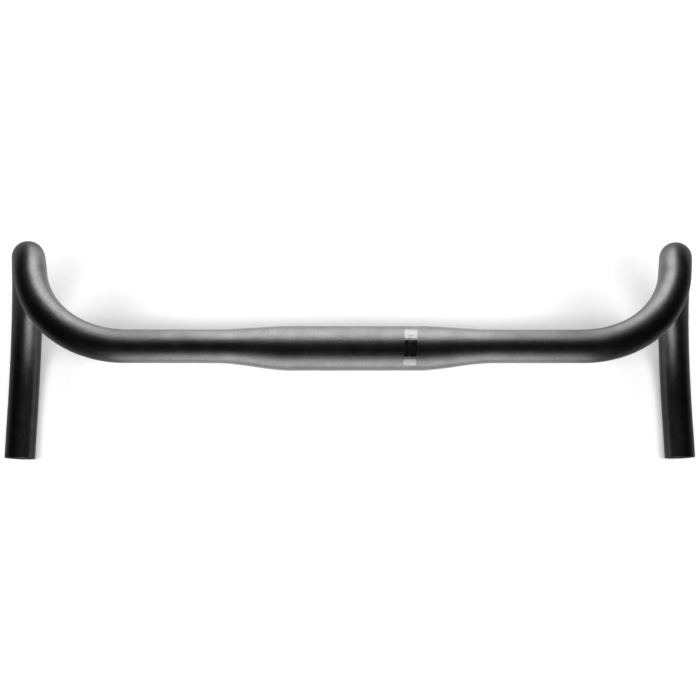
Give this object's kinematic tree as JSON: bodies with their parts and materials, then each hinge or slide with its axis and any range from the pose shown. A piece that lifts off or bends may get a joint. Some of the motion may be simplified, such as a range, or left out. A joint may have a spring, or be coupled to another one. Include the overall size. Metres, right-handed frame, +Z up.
{
  "type": "drop handlebar",
  "caption": "Bare drop handlebar: a matt black aluminium tube with a bulged stem clamp, raised tops, flared hooks, open-ended drops and a foil angle scale beside the clamp.",
  "frame": {"origin": "middle of the stem clamp, on the tube's axis", "axes": "+X to the rider's right along the clamp, +Y forward, +Z up, with the drops level"},
  "size_m": [0.5508, 0.1555, 0.169],
  "materials": {
    "black_anodised_tube": "matte",
    "gloss_foil": "gloss"
  },
  "bodies": {
    "root": {"bar_tube": "black_anodised_tube", "clamp_foil": "gloss_foil"}
  },
  "joints": []
}
